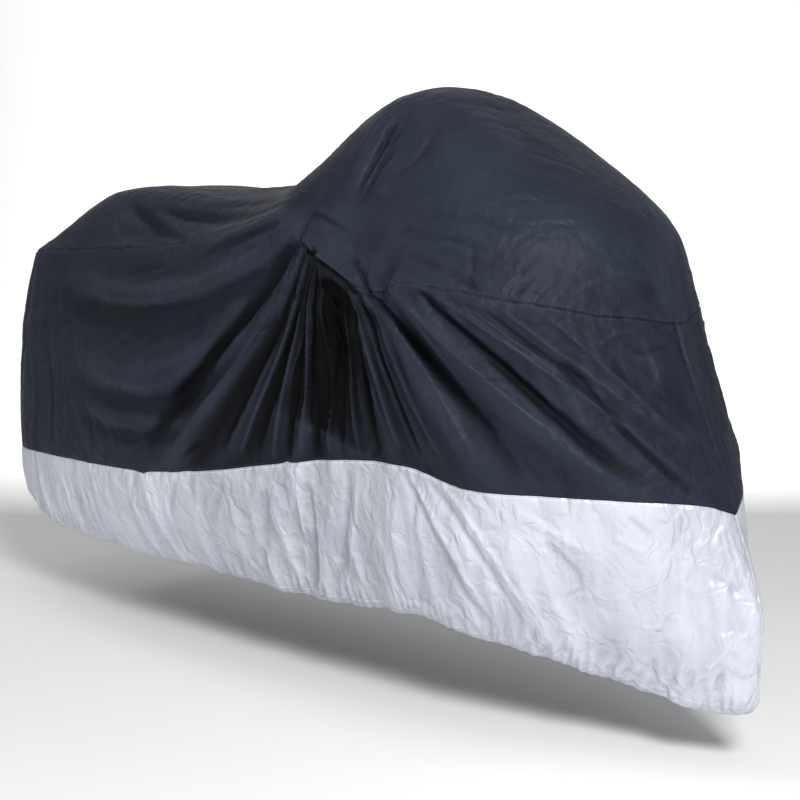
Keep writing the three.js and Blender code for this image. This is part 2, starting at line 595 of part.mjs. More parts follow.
// A panel is the sewn surface over one grid, as a shell of the cloth's thickness. Its edges draw back by
// half of the seam gap where it is sewn to a neighbour.
function panel(name, grid, cloth, sewnEdges) {
  const rows = grid.length;
  const columns = grid[0].length;
  const last = { row: rows - 1, column: columns - 1 };
  const drawnBack = (r, c) => {
    const here = outer[grid[r][c]];
    const [up, down] = [Math.max(0, r - 1), Math.min(last.row, r + 1)];
    const [back, on] = [Math.max(0, c - 1), Math.min(last.column, c + 1)];
    const inner = grid[Math.min(last.row - 1, Math.max(1, r))][Math.min(last.column - 1, Math.max(1, c))];
    const inwards = outer[inner].clone().sub(here);
    const alongRow = outer[grid[r][on]].clone().sub(outer[grid[r][back]]);
    const alongColumn = outer[grid[down][c]].clone().sub(outer[grid[up][c]]);
    const edges = [];
    if ((sewnEdges.first && r === 0) || (sewnEdges.last && r === last.row)) edges.push(alongRow);
    if ((sewnEdges.start && c === 0) || (sewnEdges.end && c === last.column)) edges.push(alongColumn);
    const place = here.clone();
    for (const edge of edges) {
      const across = outward[grid[r][c]].clone().cross(edge).normalize();
      place.addScaledVector(across, (Math.sign(across.dot(inwards)) * SEAM_GAP) / 2);
    }
    return place;
  };
  const positions = [];
  for (const depth of [0, CLOTH_THICKNESS]) {
    for (let r = 0; r < rows; r += 1) {
      for (let c = 0; c < columns; c += 1) {
        const place = drawnBack(r, c).multiply(stretch).addScaledVector(outward[grid[r][c]], -depth);
        positions.push(place.x, place.y, place.z);
      }
    }
  }
  const inside = rows * columns;
  const at = (r, c) => r * columns + c;
  const faces = [];
  const quad = (a, b, c, d) => faces.push(a, b, c, a, c, d);
  for (let r = 0; r < last.row; r += 1) {
    for (let c = 0; c < last.column; c += 1) {
      const [a, b, d, e] = [at(r, c), at(r + 1, c), at(r + 1, c + 1), at(r, c + 1)];
      quad(a, b, d, e);
      quad(inside + a, inside + e, inside + d, inside + b);
    }
  }
  const rim = [];
  for (let c = 0; c < last.column; c += 1) rim.push([at(0, c + 1), at(0, c)]);
  for (let r = 0; r < last.row; r += 1) rim.push([at(r, 0), at(r + 1, 0)]);
  for (let c = 0; c < last.column; c += 1) rim.push([at(last.row, c), at(last.row, c + 1)]);
  for (let r = 0; r < last.row; r += 1) rim.push([at(r + 1, last.column), at(r, last.column)]);
  for (const [a, b] of rim) quad(b, a, inside + a, inside + b);
  const geometry = new THREE.BufferGeometry();
  geometry.setAttribute('position', new THREE.Float32BufferAttribute(positions, 3));
  geometry.setIndex(faces);
  geometry.computeVertexNormals();
  const mesh = new THREE.Mesh(geometry, new THREE.MeshStandardMaterial(cloth));
  mesh.name = name;
  return mesh;
}

const allRound = { first: true, last: true, start: true, end: true };
const freeHem = { first: true, last: false, start: true, end: true };
const group = new THREE.Group();
group.add(panel('top_panel', top, BLACK_CLOTH, allRound));
group.add(panel('side_right', sideRight, BLACK_CLOTH, allRound));
group.add(panel('side_left', sideLeft, BLACK_CLOTH, allRound));
group.add(panel('skirt_right', skirtRight, SILVER_CLOTH, freeHem));
group.add(panel('skirt_left', skirtLeft, SILVER_CLOTH, freeHem));
group.position.set(-CROWN_FORWARD * stretch.x, 0, CLOTH_THICKNESS - CROWN_HEIGHT);

export default group;
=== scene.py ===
import math
from collections import namedtuple

import bmesh
import bpy
import numpy as np
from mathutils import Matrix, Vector
from mathutils.kdtree import KDTree


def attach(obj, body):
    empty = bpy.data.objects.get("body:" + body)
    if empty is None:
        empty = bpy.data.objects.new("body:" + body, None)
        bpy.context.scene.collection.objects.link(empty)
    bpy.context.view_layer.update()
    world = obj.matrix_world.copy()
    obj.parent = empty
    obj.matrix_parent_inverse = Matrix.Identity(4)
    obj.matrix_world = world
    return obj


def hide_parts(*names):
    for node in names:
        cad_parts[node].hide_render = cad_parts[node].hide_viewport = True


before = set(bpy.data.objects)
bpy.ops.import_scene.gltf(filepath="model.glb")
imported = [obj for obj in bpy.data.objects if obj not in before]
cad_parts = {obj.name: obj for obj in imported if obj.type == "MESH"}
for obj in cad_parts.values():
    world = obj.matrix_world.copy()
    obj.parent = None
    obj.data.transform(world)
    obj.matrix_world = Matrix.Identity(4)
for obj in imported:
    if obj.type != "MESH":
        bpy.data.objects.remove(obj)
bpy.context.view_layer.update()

# The cloth. Five panels of thin coated polyester, sewn into one hood, so that a fold runs on from panel
# to panel. The outer faces of the CAD shells are sewn up into one surface here. It is smoothed, creased
# and settled as one, and cut apart again along its seams further down.
PANELS = ("top_panel", "side_right", "side_left", "skirt_right", "skirt_left")
INSIDE = Vector((-0.3, 0.0, -0.9))
WELD = 1e-5
RIM_EDGE = 0.0026
SEAM_REACH = 0.0009


def outer_skin(node):
    """A bmesh of a shell's outer faces.

    The rim's faces have an edge across the cloth's thickness, and the inner ones look inwards.
    """
    skin = bmesh.new()
    skin.from_mesh(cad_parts[node].data)
    bmesh.ops.remove_doubles(skin, verts=skin.verts, dist=WELD)
    skin.normal_update()
    rim = [face for face in skin.faces if min(edge.calc_length() for edge in face.edges) < RIM_EDGE]
    bmesh.ops.delete(skin, geom=rim, context="FACES_ONLY")
    unseen = set(skin.faces)
    inner = []
    while unseen:
        layer = []
        waiting = [unseen.pop()]
        while waiting:
            face = waiting.pop()
            layer.append(face)
            for edge in face.edges:
                for other in edge.link_faces:
                    if other in unseen:
                        unseen.remove(other)
                        waiting.append(other)
        outwards = sum(f.calc_area() * f.normal.dot(f.calc_center_median() - INSIDE) for f in layer)
        if outwards < 0:
            inner += layer
    bmesh.ops.delete(skin, geom=inner, context="FACES")
    loose = [v for v in skin.verts if not v.link_faces]
    bmesh.ops.delete(skin, geom=loose, context="VERTS")
    return skin


def sewn_surface():
    """All panels' outer faces as one mesh of quads. A face's material index is its panel's number."""
    sewn = bmesh.new()
    for number, node in enumerate(PANELS):
        skin = outer_skin(node)
        for face in skin.faces:
            face.material_index = number
            face.smooth = True
        piece = bpy.data.meshes.new(node)
        skin.to_mesh(piece)
        skin.free()
        sewn.from_mesh(piece)
        bpy.data.meshes.remove(piece)
    bmesh.ops.remove_doubles(sewn, verts=sewn.verts, dist=SEAM_REACH)
    bmesh.ops.join_triangles(
        sewn,
        faces=sewn.faces,
        cmp_materials=True,
        angle_face_threshold=math.pi,
        angle_shape_threshold=math.pi,
    )
    mesh = bpy.data.meshes.new("cloth")
    sewn.to_mesh(mesh)
    sewn.free()
    for node in PANELS:
        mesh.materials.append(bpy.data.materials.new(node))
    return mesh


cloth = bpy.data.objects.new("cloth", sewn_surface())
bpy.context.scene.collection.objects.link(cloth)


def applied(obj):
    """Applies the modifiers of obj, so that what they made is its mesh."""
    depsgraph = bpy.context.evaluated_depsgraph_get()
    made = bpy.data.meshes.new_from_object(obj.evaluated_get(depsgraph))
    obj.modifiers.clear()
    old = obj.data
    obj.data = made
    bpy.data.meshes.remove(old)


def smoothed(obj, levels):
    """Subdivides obj smoothly and applies it."""
    smooth = obj.modifiers.new("smooth", "SUBSURF")
    smooth.levels = levels
    smooth.render_levels = levels
    applied(obj)


smoothed(cloth, 2)


def points_of(mesh):
    """The places of the mesh's points, one a row."""
    found = np.empty(len(mesh.vertices) * 3)
    mesh.vertices.foreach_get("co", found)
    return found.reshape(-1, 3)


def facings_of(mesh):
    """The ways that the mesh's points face, one a row."""
    found = np.empty(len(mesh.vertices) * 3)
    mesh.vertices.foreach_get("normal", found)
    return found.reshape(-1, 3)


# The hang of the cloth. Below the top seam it is cut a little wider than the space round the gather on
# each flank, so it buckles into folds that run out from there, and it sags on its seams. How far a point
# may move is capped. The top panel lies taut over what holds it up, so it isn't hung.
GATHER = (-0.115, -0.40)
SPARE_ROUND = 0.05
HANG_FRAMES = 22
HANG_REACH = 0.022
HELD_LOOSELY = 0.25
HELD_AT_SKIRT_SEAM = 0.6
TOP, SIDES, SKIRTS = (0,), (1, 2), (3, 4)


def spread_round_gather(points):
    """The points turned away from straight below the gather by a share of their angle round it."""
    along = points[:, 0] - GATHER[0]
    down = GATHER[1] - points[:, 2]
    radius = np.hypot(along, down)
    angle = np.arctan2(along, down) * (1 + SPARE_ROUND)
    spread = points.copy()
    spread[:, 0] = GATHER[0] + radius * np.sin(angle)
    spread[:, 2] = GATHER[1] - radius * np.cos(angle)
    return spread


def corners_in(mesh, panels):
    """Which of the mesh's points belong to faces of these panels."""
    found = np.zeros(len(mesh.vertices), bool)
    for face in mesh.polygons:
        if face.material_index in panels:
            found[list(face.vertices)] = True
    return found


def hung(name, mesh, panels, rest, held):
    """Where the points of these panels come to, hung as cloth. rest has their places when slack."""
    faces = [list(face.vertices) for face in mesh.polygons if face.material_index in panels]
    kept = np.flatnonzero(corners_in(mesh, panels))
    number = np.full(len(mesh.vertices), -1)
    number[kept] = np.arange(len(kept))
    start = points_of(mesh)[kept]
    part = bpy.data.meshes.new(name)
    part.from_pydata(start.tolist(), [], [number[face].tolist() for face in faces])
    obj = bpy.data.objects.new(name, part)
    bpy.context.scene.collection.objects.link(obj)
    obj.shape_key_add(name="start")
    slack = obj.shape_key_add(name="slack")
    slack.data.foreach_set("co", rest[kept].ravel())
    group = obj.vertex_groups.new(name="held")
    for v, weight in enumerate(held[kept]):
        group.add([v], float(weight), "REPLACE")
    hang = obj.modifiers.new("hang", "CLOTH")
    settings = hang.settings
    settings.quality = 5
    settings.mass = 0.2
    settings.tension_stiffness = 30
    settings.compression_stiffness = 30
    settings.shear_stiffness = 10
    settings.bending_stiffness = 0.5
    settings.tension_damping = 10
    settings.compression_damping = 10
    settings.shear_damping = 10
    settings.air_damping = 4
    settings.vertex_group_mass = "held"
    settings.pin_stiffness = 0.6
    settings.rest_shape_key = slack
    hang.collision_settings.use_collision = False
    hang.point_cache.frame_start = 1
    hang.point_cache.frame_end = HANG_FRAMES
    for step in range(1, HANG_FRAMES + 1):
        bpy.context.scene.frame_set(step)
    depsgraph = bpy.context.evaluated_depsgraph_get()
    ended = points_of(obj.evaluated_get(depsgraph).data)
    bpy.context.scene.frame_set(1)
    bpy.data.objects.remove(obj)
    moved = ended - start
    length = np.linalg.norm(moved, axis=1)
    moved *= (HANG_REACH * np.tanh(length / HANG_REACH) / np.maximum(length, WELD))[:, None]
    return kept, start + moved


places = points_of(cloth.data)
on_top = corners_in(cloth.data, TOP)
top_seam = on_top & corners_in(cloth.data, SIDES)
skirt_seam = corners_in(cloth.data, SIDES) & corners_in(cloth.data, SKIRTS)
held = np.full(len(places), HELD_LOOSELY)
held[skirt_seam] = HELD_AT_SKIRT_SEAM
held[top_seam] = 1.0
kept, ended = hung("ring", cloth.data, SIDES + SKIRTS, spread_round_gather(places), held)
places[kept] = ended
cloth.data.vertices.foreach_set("co", places.ravel())
cloth.data.update()
smoothed(cloth, 1)

# Creases and small folds, put where they lie on the real cover. Each runs from a start over a middle to
# an end, as (along, height above the ground) on its own flank, in millimetres. Width is its reach at both
# ends, and depth stands out where positive, at start, middle and end.
Fold = namedtuple("Fold", "form start middle end width depth")
MM = 0.001
CROWN = 1616
FORWARD = 215
FOLD_STEPS = 14
FOLD_REACH = 4
FOLD_END = 1 / 6
GATHER_FOLDS = (
    Fold("lap", (310, 1098), (165, 1180), (50, 1243), (20, 16), (5, 13, 2)),
    Fold("soft", (150, 1130), (125, 960), (70, 740), (60, 150), (-8, -14, -10)),
    Fold("crisp", (90, 1220), (-160, 935), (-440, 670), (12, 24), (5, 15, 9)),
    Fold("soft", (60, 1225), (-280, 935), (-615, 630), (14, 36), (-7, -16, -10)),
    Fold("crisp", (100, 1195), (-55, 925), (-205, 645), (5, 8), (3, 8, 5)),
    Fold("soft", (92, 1195), (-95, 925), (-270, 650), (8, 16), (-4, -7, -4)),
    Fold("crisp", (100, 1190), (-10, 930), (-85, 650), (5, 8), (3, 9, 5)),
    Fold("soft", (100, 1170), (-30, 930), (-140, 660), (7, 14), (-4, -7, -4)),
    Fold("crisp", (115, 1190), (45, 940), (20, 670), (5, 8), (4, 10, 7)),
    Fold("soft", (110, 1170), (20, 930), (-30, 660), (7, 14), (-5, -8, -5)),
    Fold("crisp", (145, 1175), (90, 935), (115, 680), (5, 7), (3, 8, 5)),
    Fold("soft", (130, 1165), (65, 935), (65, 675), (7, 12), (-5, -8, -5)),
    Fold("crisp", (200, 1145), (175, 925), (220, 690), (5, 8), (3, 7, 4)),
    Fold("soft", (175, 1150), (130, 930), (165, 685), (8, 14), (-4, -7, -4)),
    Fold("crisp", (250, 1120), (285, 920), (365, 725), (6, 9), (4, 8, 4)),
    Fold("soft", (225, 1125), (230, 920), (290, 700), (8, 14), (-4, -8, -4)),
    Fold("crisp", (315, 1100), (395, 900), (515, 705), (6, 10), (4, 8, 4)),
    Fold("soft", (285, 1105), (340, 910), (440, 715), (8, 13), (-5, -9, -4)),
    Fold("crisp", (330, 1095), (480, 905), (625, 705), (8, 13), (4, 8, 4)),
    Fold("soft", (250, 1195), (440, 980), (650, 780), (8, 20), (-7, -13, -5)),
    Fold("crisp", (345, 1160), (580, 970), (810, 790), (8, 16), (4, 10, 4)),
    Fold("soft", (465, 1125), (720, 905), (955, 680), (8, 16), (-6, -12, -4)),
    Fold("crisp", (510, 1120), (805, 905), (1030, 670), (7, 11), (4, 7, 4)),
    Fold("crisp", (605, 1080), (695, 1010), (780, 950), (6, 7), (2, 4, 1)),
    Fold("soft", (630, 1085), (745, 985), (850, 900), (7, 8), (-2, -4, -1)),
    Fold("crisp", (670, 1080), (835, 930), (985, 785), (6, 8), (2, 4, 2)),
    Fold("crisp", (755, 1060), (880, 920), (990, 770), (7, 8), (4, 6, 4)),
    Fold("soft", (780, 965), (905, 805), (1025, 655), (8, 9), (-2, -6, -3)),
    Fold("crisp", (160, 1225), (230, 1170), (305, 1125), (7, 7), (3, 5, 2)),
)
SWAGS = (
    Fold("pleat", (60, 1230), (-530, 1040), (-1140, 1075), (28, 60), (6, 17, 4)),
    Fold("pleat", (-85, 1025), (-530, 790), (-1035, 840), (34, 60), (3, 12, 3)),
    Fold("pleat", (-375, 725), (-670, 665), (-970, 705), (30, 35), (2, 8, 2)),
    Fold("pleat", (10, 1290), (-180, 1240), (-375, 1190), (14, 22), (4, 8, 2)),
    Fold("soft", (-55, 1315), (-395, 1285), (-735, 1305), (16, 26), (-4, -8, -2)),
    Fold("soft", (-925, 1330), (-775, 1270), (-625, 1225), (14, 16), (-3, -8, -3)),
    Fold("crisp", (-875, 1340), (-655, 1270), (-440, 1225), (14, 16), (3, 7, 2)),
)
CRUMPLES = (
    Fold("crisp", (840, 1000), (860, 1025), (880, 1020), (6, 6), (3, 5, 2)),
    Fold("crisp", (880, 1020), (910, 950), (940, 875), (6, 6), (2, 5, 3)),
    Fold("soft", (840, 1000), (880, 935), (920, 890), (9, 9), (-2, -6, -2)),
    Fold("crisp", (920, 890), (920, 925), (900, 970), (6, 6), (2, 4, 2)),
    Fold("crisp", (935, 875), (950, 845), (940, 830), (6, 6), (3, 4, 2)),
    Fold("soft", (865, 1020), (890, 980), (900, 995), (8, 8), (-2, -4, -2)),
    Fold("crisp", (800, 1270), (855, 1160), (900, 1035), (8, 9), (2, 4, 2)),
    Fold("soft", (825, 1235), (930, 960), (1040, 685), (8, 12), (-2, -4, -2)),
    Fold("crisp", (820, 1250), (870, 1140), (900, 1025), (7, 8), (2, 3, 2)),
    Fold("soft", (880, 1090), (920, 975), (965, 865), (9, 9), (-2, -4, -1)),
)
HOOD_CREASES = (
    Fold("crisp", (745, 1280), (690, 1278), (640, 1272), (7, 7), (2, 3, 1)),
    Fold("crisp", (555, 1265), (600, 1270), (640, 1272), (6, 6), (1, 2, 1)),
    Fold("pleat", (370, 1255), (430, 1235), (560, 1225), (8, 8), (2, 3, 2)),
    Fold("pleat", (565, 1225), (585, 1185), (595, 1145), (7, 7), (2, 4, 1)),
    Fold("pleat", (685, 1185), (690, 1160), (695, 1140), (6, 6), (1, 3, 1)),
    Fold("crisp", (575, 1335), (620, 1335), (665, 1325), (7, 7), (1, 2, 1)),
    Fold("crisp", (625, 1260), (690, 1250), (745, 1260), (7, 7), (1, 2, 1)),
    Fold("crisp", (790, 1110), (800, 1135), (820, 1145), (7, 7), (2, 4, 2)),
    Fold("crisp", (820, 1145), (840, 1155), (865, 1130), (7, 7), (2, 4, 2)),
    Fold("crisp", (670, 1100), (670, 1130), (685, 1155), (6, 7), (3, 4, 1)),
    Fold("soft", (695, 1085), (700, 1125), (720, 1155), (7, 8), (-2, -4, -1)),
    Fold("crisp", (725, 1080), (735, 1120), (755, 1145), (6, 7), (3, 4, 1)),
    Fold("crisp", (760, 1075), (760, 1105), (775, 1125), (6, 7), (3, 4, 1)),
    Fold("soft", (630, 1105), (610, 1130), (590, 1160), (7, 8), (-2, -4, -1)),
    Fold("crisp", (570, 1120), (550, 1150), (525, 1180), (6, 8), (2, 3, 1)),
    Fold("soft", (230, 1560), (225, 1455), (200, 1345), (12, 10), (-3, -10, -5)),
    Fold("crisp", (250, 1505), (230, 1425), (215, 1350), (9, 8), (2, 7, 4)),
    Fold("soft", (280, 1455), (240, 1395), (230, 1330), (9, 8), (-3, -8, -4)),
    Fold("soft", (350, 1535), (360, 1445), (300, 1370), (16, 12), (-2, -5, -2)),
    Fold("soft", (400, 1490), (425, 1450), (455, 1410), (10, 10), (-1, -3, -1)),
    Fold("soft", (385, 1545), (480, 1485), (570, 1420), (20, 20), (1, 3, 1)),
    Fold("crisp", (260, 1365), (285, 1350), (315, 1330), (7, 7), (2, 4, 2)),
    Fold("crisp", (50, 1285), (140, 1265), (230, 1240), (8, 8), (3, 5, 3)),
    Fold("crisp", (85, 1310), (160, 1290), (230, 1250), (8, 8), (2, 5, 3)),
    Fold("soft", (70, 1298), (150, 1278), (230, 1246), (7, 7), (-3, -5, -3)),
    Fold("crisp", (125, 1325), (185, 1310), (240, 1290), (8, 8), (2, 5, 2)),
    Fold("soft", (125, 1245), (185, 1205), (240, 1155), (8, 9), (-3, -6, -2)),
    Fold("crisp", (180, 1260), (225, 1215), (275, 1170), (8, 8), (3, 6, 3)),
)
TAIL_CREASES = (
    Fold("crisp", (-430, 1175), (-320, 1215), (-215, 1245), (7, 8), (2, 4, 2)),
    Fold("crisp", (-355, 1170), (-240, 1210), (-125, 1235), (7, 8), (2, 4, 2)),
    Fold("crisp", (-280, 1190), (-165, 1220), (-50, 1250), (7, 8), (2, 5, 3)),
    Fold("crisp", (-180, 1195), (-75, 1230), (25, 1260), (8, 8), (3, 6, 4)),
    Fold("crisp", (-965, 1315), (-820, 1265), (-680, 1230), (10, 12), (3, 6, 3)),
    Fold("soft", (-925, 1330), (-705, 1255), (-475, 1220), (12, 16), (-3, -7, -3)),
    Fold("crisp", (-1005, 1330), (-930, 1275), (-860, 1210), (9, 10), (2, 5, 2)),
    Fold("crisp", (-1080, 1205), (-1030, 1250), (-985, 1295), (9, 9), (2, 5, 2)),
    Fold("soft", (-865, 1315), (-590, 1285), (-325, 1270), (13, 16), (-3, -7, -4)),
    Fold("crisp", (-310, 1290), (-155, 1310), (5, 1335), (9, 12), (2, 5, 3)),
    Fold("soft", (-555, 1310), (-320, 1320), (-100, 1325), (12, 12), (-2, -5, -2)),
    Fold("soft", (-1330, 850), (-1305, 695), (-1345, 545), (14, 16), (1, 4, 2)),
    Fold("soft", (-1230, 890), (-1170, 725), (-1185, 555), (13, 15), (-1, -4, -2)),
    Fold("crisp", (-1110, 800), (-1065, 685), (-1100, 565), (10, 12), (1, 3, 2)),
    Fold("soft", (-980, 735), (-915, 665), (-900, 570), (12, 14), (-1, -4, -2)),
    Fold("crisp", (-855, 705), (-800, 650), (-765, 580), (9, 11), (2, 4, 3)),
    Fold("crisp", (-785, 650), (-685, 645), (-585, 675), (9, 9), (2, 5, 2)),
    Fold("crisp", (-685, 615), (-605, 645), (-525, 685), (9, 9), (2, 5, 3)),
    Fold("soft", (-440, 600), (-395, 640), (-340, 670), (8, 10), (-3, -5, -2)),
)
SKIRT_FOLDS = (
    Fold("crisp", (0, 640), (-18, 500), (-60, 300), (7, 9), (4, 8, 6)),
    Fold("soft", (22, 600), (8, 450), (-40, 290), (10, 14), (-5, -14, -12)),
    Fold("soft", (172, 650), (135, 480), (55, 300), (9, 12), (-4, -7, -4)),
    Fold("crisp", (205, 650), (165, 480), (90, 300), (8, 11), (2, 5, 3)),
    Fold("crisp", (385, 670), (482, 520), (575, 305), (8, 12), (3, 6, 4)),
    Fold("soft", (365, 670), (455, 515), (545, 305), (9, 13), (-3, -7, -5)),
    Fold("crisp", (470, 670), (600, 530), (680, 310), (8, 12), (3, 7, 3)),
    Fold("soft", (440, 660), (565, 525), (650, 310), (9, 13), (-4, -7, -4)),
    Fold("crisp", (690, 630), (790, 560), (850, 530), (9, 10), (3, 6, 2)),
    Fold("soft", (740, 550), (790, 490), (810, 420), (10, 12), (-2, -6, -3)),
    Fold("crisp", (890, 570), (925, 548), (960, 520), (8, 8), (2, 4, 2)),
    Fold("soft", (920, 620), (945, 590), (960, 560), (8, 8), (-2, -4, -2)),
    Fold("crisp", (990, 470), (1015, 455), (1040, 440), (8, 8), (2, 4, 2)),
    Fold("soft", (1060, 480), (1085, 455), (1110, 430), (8, 8), (-2, -4, -2)),
    Fold("crisp", (1110, 330), (1070, 275), (1030, 230), (8, 9), (2, 6, 4)),
    Fold("soft", (1080, 260), (1065, 215), (1050, 180), (8, 9), (-2, -6, -5)),
    Fold("soft", (1020, 240), (1010, 215), (1000, 190), (8, 9), (-2, -5, -5)),
    Fold("soft", (940, 270), (935, 245), (930, 220), (8, 9), (-2, -5, -5)),
    Fold("soft", (-450, 560), (-500, 500), (-540, 440), (12, 14), (-1, -4, -2)),
    Fold("crisp", (-380, 570), (-392, 510), (-400, 450), (10, 12), (1, 4, 2)),
    Fold("soft", (-270, 570), (-325, 495), (-370, 420), (12, 14), (-1, -4, -2)),
    Fold("crisp", (-820, 520), (-765, 490), (-710, 460), (10, 12), (1, 4, 2)),
    Fold("crisp", (-1180, 510), (-1135, 500), (-1090, 490), (10, 12), (1, 3, 1)),
    Fold("soft", (-120, 600), (-150, 470), (-215, 300), (14, 18), (-2, -5, -4)),
)

# A soft fold is round, and a crisp one has a sharp crest. A pleat or a lap stands up on its right side and
# dips on its left one, a lap with a sharp edge between.
CRISP_FALL = 1.9
LAP_FALL = 0.7
SOFT_FALL = 1.6
PLEAT_SWING = 2.2


def crest(form, across):
    """A fold's share of its depth at places across it, in widths from its crest."""
    if form == "crisp":
        return np.exp(-CRISP_FALL * np.abs(across))
    if form == "pleat":
        return -PLEAT_SWING * across * np.exp(-across * across)
    if form == "lap":
        return np.sign(-across) * np.exp(-LAP_FALL * np.abs(across))
    return np.exp(-SOFT_FALL * across * across)


def raised(folds, along, height):
    """How far the folds together lift the cloth at each place, in millimetres, as the places are."""
    total = np.zeros(len(along))
    for fold in folds:
        t = np.linspace(0, 1, FOLD_STEPS + 1)
        shares = np.stack([(1 - t) * (1 - 2 * t), 4 * t * (1 - t), t * (2 * t - 1)], axis=1)
        line = shares @ np.array([fold.start, fold.middle, fold.end], float)
        reach = FOLD_REACH * max(fold.width)
        lowest = line.min(axis=0) - reach
        highest = line.max(axis=0) + reach
        beside = (along > lowest[0]) & (along < highest[0])
        level = (height > lowest[1]) & (height < highest[1])
        near = np.flatnonzero(beside & level)
        here = np.stack([along[near], height[near]], axis=1)
        nearest = np.full(len(near), np.inf)
        share = np.zeros(len(near))
        side = np.zeros(len(near))
        for k in range(FOLD_STEPS):
            run = line[k + 1] - line[k]
            held = np.clip((here - line[k]) @ run / (run @ run), 0, 1)
            off = here - line[k] - held[:, None] * run
            distance = np.hypot(off[:, 0], off[:, 1])
            closer = distance < nearest
            nearest[closer] = distance[closer]
            share[closer] = (t[k] + held / FOLD_STEPS)[closer]
            side[closer] = np.sign(run[0] * off[:, 1] - run[1] * off[:, 0])[closer]
        width = np.interp(share, (0, 1), fold.width)
        depth = np.interp(share, (0, 0.5, 1), fold.depth)
        ends = np.clip(np.minimum(share, 1 - share) / FOLD_END, 0, 1)
        total[near] += depth * crest(fold.form, side * nearest / width) * np.sqrt(ends)
    return total


LUMPS = 97
SHARP_TO = 0.55
TROUGH = 1.6
TROUGH_ROUND = 0.8


def uneven(u, v, seed):
    """Smooth unevenness from -1 to 1, with about one lump to each unit of u and of v."""
    lattice = np.random.RandomState(seed).uniform(-1, 1, (LUMPS, LUMPS))
    column, row = np.floor(u).astype(int), np.floor(v).astype(int)
    across, up = u - column, v - row
    across = across * across * (3 - 2 * across)
    up = up * up * (3 - 2 * up)
    column, row = column % LUMPS, row % LUMPS
    next_column, next_row = (column + 1) % LUMPS, (row + 1) % LUMPS
    low = lattice[column, row] * (1 - across) + lattice[next_column, row] * across
    high = lattice[column, next_row] * (1 - across) + lattice[next_column, next_row] * across
    return low * (1 - up) + high * up


def uneven_along(way, apart, seed):
    """Unevenness from -1 to 1 along a line, with about one lump to each length apart."""
    return uneven(way / apart, np.zeros(len(way)), seed)


def creased(u, v, seed):
    """Unevenness over u and v with sharp crests up to SHARP_TO and round troughs, about 0."""
    return SHARP_TO - TROUGH * np.abs(uneven(u, v, seed)) ** TROUGH_ROUND


def fading(value, start, end):
    """0 before start, 1 after end, and smooth between them."""
    share = np.clip((value - start) / (end - start), 0, 1)
    return share * share * (3 - 2 * share)


mesh = cloth.data
places = points_of(mesh)
facings = facings_of(mesh)
along = places[:, 0] / MM + FORWARD
height = places[:, 2] / MM + CROWN
right = places[:, 1] < 0
on_top = corners_in(mesh, TOP)
on_skirt = corners_in(mesh, SKIRTS)

# The far flank is sewn from the same pieces, and nobody folded it the same: its folds are a little
# slacker and lie further back. The folds at the gather are pulled deeper than those elsewhere.
LEFT_SHARE = 0.8
LEFT_SHIFT = 22
lift = np.zeros(len(places))
gathered = np.zeros(len(places))
for folds, deeper in (
    (GATHER_FOLDS, 1.5),
    (SWAGS, 1.0),
    (CRUMPLES, 1.0),
    (HOOD_CREASES, 1.0),
    (TAIL_CREASES, 1.0),
    (SKIRT_FOLDS, 1.25),
):
    lift += deeper * np.where(
        right,
        raised(folds, along, height),
        LEFT_SHARE * raised(folds, along + LEFT_SHIFT, height),
    )
    if folds is GATHER_FOLDS:
        gathered = -lift

# Under the flap at the gather the cloth falls back in a fan between two ridges, and shade is painted there,
# darkening its colour. The painted shade's edges run down from the flap, and it gets lighter towards the
# nose and the skirt, and on the fan's own ridges.
FAN_BACK = ((1220, 90), (935, -160), (670, -440))
FAN_FRONT = ((1250, 45), (1178, 160), (1098, 310), (905, 460), (705, 590))
LIGHTER_AT_NOSE = 0.5
LIGHTER_AT_SKIRT = 0.25
LIGHTER_ON_RIDGES = 0.85
RIDGE_CLEAR = 7
back_edge = np.interp(-height, [-h for h, _ in FAN_BACK], [x for _, x in FAN_BACK])
front_edge = np.interp(-height, [-h for h, _ in FAN_FRONT], [x for _, x in FAN_FRONT])
painted_fan_shade = fading(along, back_edge + 5, back_edge + 60) * fading(front_edge - along, 0, 22)
painted_fan_shade *= 1 - LIGHTER_AT_NOSE * fading(along, 150, 330)
painted_fan_shade *= 1 - LIGHTER_AT_SKIRT * fading(-height, -800, -640)
painted_fan_shade *= fading(-height, -1235, -1190)
painted_fan_shade *= 1 - np.clip(-gathered / RIDGE_CLEAR, 0, LIGHTER_ON_RIDGES)

# Fine wrinkles. Most run out from the gather, where the cloth is drawn together, and get wider as they
# go. Thin coated cloth buckles into flat faces with sharp edges between them, and it keeps the creases
# that it was packed in. up goes on over the top, where height stands still.
GATHERED_ALONG = 100
GATHERED_HEIGHT = 1216
FLANK_HALF = 330
FLANK_LEAN = 0.9
OTHER_FLANK = 50
up = height - GATHERED_HEIGHT + FLANK_LEAN * (FLANK_HALF - np.abs(places[:, 1]) / MM)
out = np.hypot(along - GATHERED_ALONG, up)
turn = np.arctan2(up, along - GATHERED_ALONG)
far = fading(places[:, 1] / MM, -60, 60)


def two_flanks(pattern, u, v, seed):
    """The pattern with one seed on the right flank and another on the left, blended over the middle."""
    return pattern(u, v, seed) * (1 - far) + pattern(u, v, seed + OTHER_FLANK) * far


def spread_over(pattern, long, tall, start, seed):
    """The pattern over both flanks, in lumps this long and tall in millimetres, begun at its start."""
    return two_flanks(pattern, along / long + start, up / tall + start, seed)


